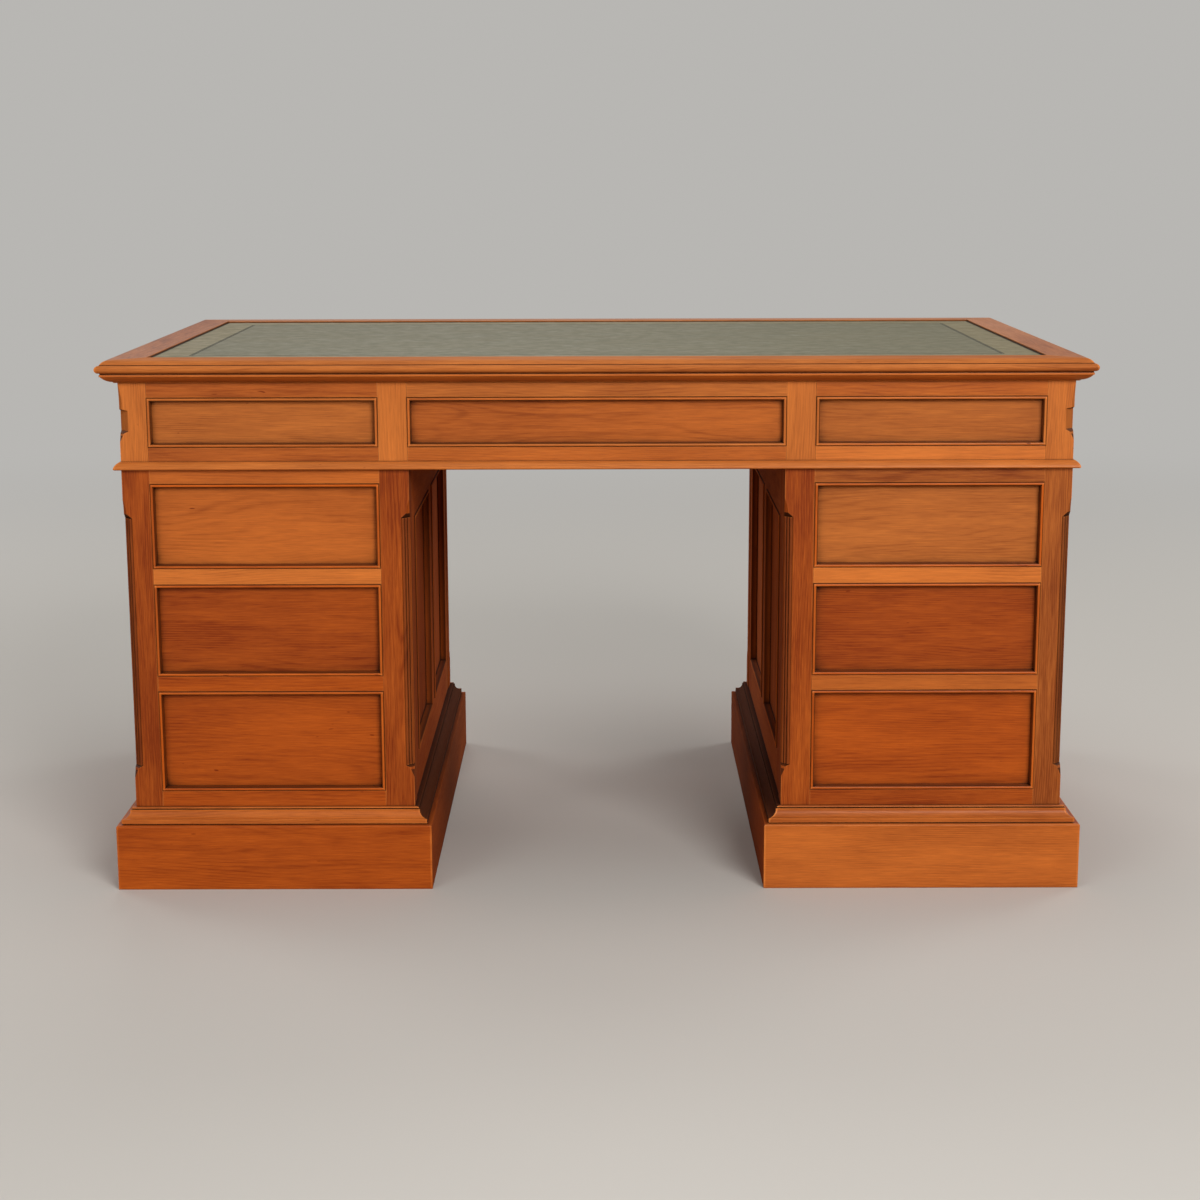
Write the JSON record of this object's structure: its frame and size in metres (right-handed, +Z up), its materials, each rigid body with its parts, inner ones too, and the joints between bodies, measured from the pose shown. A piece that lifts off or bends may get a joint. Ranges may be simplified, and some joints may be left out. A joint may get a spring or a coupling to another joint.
{
  "type": "partners desk",
  "caption": "Pedestal desk with a leather-inset top and kneehole: blind panelled frieze and pedestals on one side, sliding drawers in frieze and pedestals on the other.",
  "frame": {"origin": "on the floor, at the middle of the desk's width and depth", "axes": "+X to the right as seen from the blind panelled side, +Y towards the drawer side, +Z up"},
  "size_m": [1.43, 0.84, 0.786],
  "materials": {
    "frame_wood": "waxed satin, warm orange-brown",
    "muntin_wood": "waxed satin, lighter orange-brown",
    "panel_wood": "waxed satin, red-brown with dark recesses",
    "moulding_wood": "waxed satin",
    "knob_wood": "polished, turned",
    "drawer_lining": "bare, aged",
    "inner_wood": "bare, sawn and planed",
    "leather": "grey-green, tooled border, satin",
    "steel": "dull"
  },
  "bodies": {
    "desk": {"cornice_moulding": "moulding_wood", "fixing_screws": "steel", "frieze_beads": "moulding_wood", "frieze_end_frames": "frame_wood", "frieze_muntins": "muntin_wood", "frieze_panels": "panel_wood", "frieze_partitions_and_runners": "inner_wood", "frieze_posts": "frame_wood", "frieze_rails": "frame_wood", "leather_inset": "leather", "left_pedestal_base_moulding": "moulding_wood", "left_pedestal_beads": "moulding_wood", "left_pedestal_boards": "inner_wood", "left_pedestal_drawer_blades": "frame_wood", "left_pedestal_panel_side_rails": "frame_wood", "left_pedestal_panels": "panel_wood", "left_pedestal_plinth": "frame_wood", "left_pedestal_posts": "frame_wood", "left_pedestal_runners": "inner_wood", "left_pedestal_side_frames": "frame_wood", "right_pedestal_base_moulding": "moulding_wood", "right_pedestal_beads": "moulding_wood", "right_pedestal_boards": "inner_wood", "right_pedestal_drawer_blades": "frame_wood", "right_pedestal_panel_side_rails": "frame_wood", "right_pedestal_panels": "panel_wood", "right_pedestal_plinth": "frame_wood", "right_pedestal_posts": "frame_wood", "right_pedestal_runners": "inner_wood", "right_pedestal_side_frames": "frame_wood", "top_board": "inner_wood", "top_frame": "frame_wood", "waist_moulding": "moulding_wood"},
    "left_bottom_drawer": {"left_bottom_drawer_box": "drawer_lining", "left_bottom_drawer_front": "panel_wood", "left_bottom_drawer_knob": "knob_wood"},
    "left_middle_drawer": {"left_middle_drawer_box": "drawer_lining", "left_middle_drawer_front": "panel_wood", "left_middle_drawer_knob": "knob_wood"},
    "left_top_drawer": {"left_top_drawer_box": "drawer_lining", "left_top_drawer_front": "panel_wood", "left_top_drawer_knob": "knob_wood"},
    "left_frieze_drawer": {"left_frieze_drawer_box": "drawer_lining", "left_frieze_drawer_front": "panel_wood", "left_frieze_drawer_knob": "knob_wood"},
    "right_bottom_drawer": {"right_bottom_drawer_box": "drawer_lining", "right_bottom_drawer_front": "panel_wood", "right_bottom_drawer_knob": "knob_wood"},
    "right_middle_drawer": {"right_middle_drawer_box": "drawer_lining", "right_middle_drawer_front": "panel_wood", "right_middle_drawer_knob": "knob_wood"},
    "right_top_drawer": {"right_top_drawer_box": "drawer_lining", "right_top_drawer_front": "panel_wood", "right_top_drawer_knob": "knob_wood"},
    "right_frieze_drawer": {"right_frieze_drawer_box": "drawer_lining", "right_frieze_drawer_front": "panel_wood", "right_frieze_drawer_knob": "knob_wood"},
    "centre_frieze_drawer": {"centre_frieze_drawer_box": "drawer_lining", "centre_frieze_drawer_front": "panel_wood", "centre_frieze_drawer_knobs": "knob_wood"}
  },
  "joints": [
    {"name": "left_bottom_drawer_slide", "type": "slide", "parent": "desk", "child": "left_bottom_drawer", "axis": [0, 1, 0], "range_m": [0, 0.48]},
    {"name": "left_middle_drawer_slide", "type": "slide", "parent": "desk", "child": "left_middle_drawer", "axis": [0, 1, 0], "range_m": [0, 0.48]},
    {"name": "left_top_drawer_slide", "type": "slide", "parent": "desk", "child": "left_top_drawer", "axis": [0, 1, 0], "range_m": [0, 0.48]},
    {"name": "left_frieze_drawer_slide", "type": "slide", "parent": "desk", "child": "left_frieze_drawer", "axis": [0, 1, 0], "range_m": [0, 0.48]},
    {"name": "right_bottom_drawer_slide", "type": "slide", "parent": "desk", "child": "right_bottom_drawer", "axis": [0, 1, 0], "range_m": [0, 0.48]},
    {"name": "right_middle_drawer_slide", "type": "slide", "parent": "desk", "child": "right_middle_drawer", "axis": [0, 1, 0], "range_m": [0, 0.48]},
    {"name": "right_top_drawer_slide", "type": "slide", "parent": "desk", "child": "right_top_drawer", "axis": [0, 1, 0], "range_m": [0, 0.48]},
    {"name": "right_frieze_drawer_slide", "type": "slide", "parent": "desk", "child": "right_frieze_drawer", "axis": [0, 1, 0], "range_m": [0, 0.48]},
    {"name": "centre_frieze_drawer_slide", "type": "slide", "parent": "desk", "child": "centre_frieze_drawer", "axis": [0, 1, 0], "range_m": [0, 0.48]}
  ]
}
